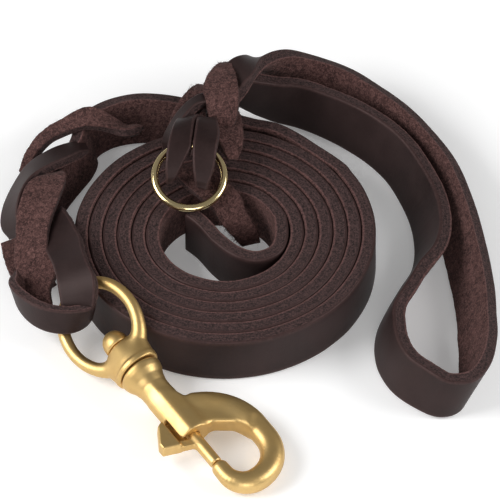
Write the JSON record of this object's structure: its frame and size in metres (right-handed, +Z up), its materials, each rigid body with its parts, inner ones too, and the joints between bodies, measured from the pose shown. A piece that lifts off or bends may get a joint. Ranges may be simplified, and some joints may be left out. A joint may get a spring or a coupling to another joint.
{
  "type": "dog training leash",
  "caption": "Flat leather training leash, rolled up, with braided ends, a hand loop, a brass O-ring and a swivel bolt snap.",
  "frame": {"origin": "on the surface the leash lies on, under the middle of its footprint", "axes": "+Z up, +X towards the hand loop, +Y towards the braided end of the hand loop, away from the hook"},
  "size_m": [0.1739, 0.1936, 0.0362],
  "materials": {
    "leather": "smooth grain side, soft sheen",
    "suede": "rough flesh side, matt",
    "snap_brass": "satin cast brass",
    "ring_brass": "polished brass",
    "spring_steel": "spring wire"
  },
  "bodies": {
    "leash": {"strap_coil": "leather", "strap_inner_end": "leather", "strap_lead_out": "leather", "snap_tail": "suede", "snap_strand_upper": "leather", "snap_strand_flesh": "suede", "snap_strand_lower": "suede", "snap_strand_wide": "leather", "eye_fold": "leather", "handle_inner_leg": "leather", "handle_bend": "leather", "handle_outer_leg": "leather", "handle_strand_top": "suede", "handle_strand_lobe": "suede", "handle_strand_cross": "leather", "handle_strand_back": "suede", "handle_core": "leather", "ring_flap_left": "leather", "ring_flap_right": "leather", "handle_tail": "suede"},
    "eye": {"swivel_eye": "snap_brass"},
    "snap": {"swivel_stem": "snap_brass", "snap_hook": "snap_brass", "bolt_spring": "spring_steel"},
    "bolt": {"snap_bolt": "snap_brass", "thumb_lever": "snap_brass"},
    "ring": {"o_ring": "ring_brass"}
  },
  "joints": [
    {"name": "eye_swing", "type": "hinge", "parent": "leash", "child": "eye", "pos_m": [-0.05939, -0.01664, 0.01652], "axis": [-0.6443, -0.3559, -0.6769], "range_deg": [0, 20], "deforming": ["eye_fold"]},
    {"name": "snap_swivel", "type": "hinge", "parent": "eye", "child": "snap", "pos_m": [-0.0376, -0.0473, 0.0119], "axis": [0.575, -0.8091, -0.1219], "continuous": true},
    {"name": "bolt_slide", "type": "slide", "parent": "snap", "child": "bolt", "axis": [-0.575, 0.8091, 0.1219], "range_m": [0, 0.009], "stiffness_N_per_m": 400, "springref_m": -0.006, "deforming": ["bolt_spring"]},
    {"name": "ring_swing", "type": "hinge", "parent": "leash", "child": "ring", "pos_m": [-0.0202, 0.04234, 0.0287], "axis": [-1, 0, 0], "range_deg": [0, 35]}
  ]
}
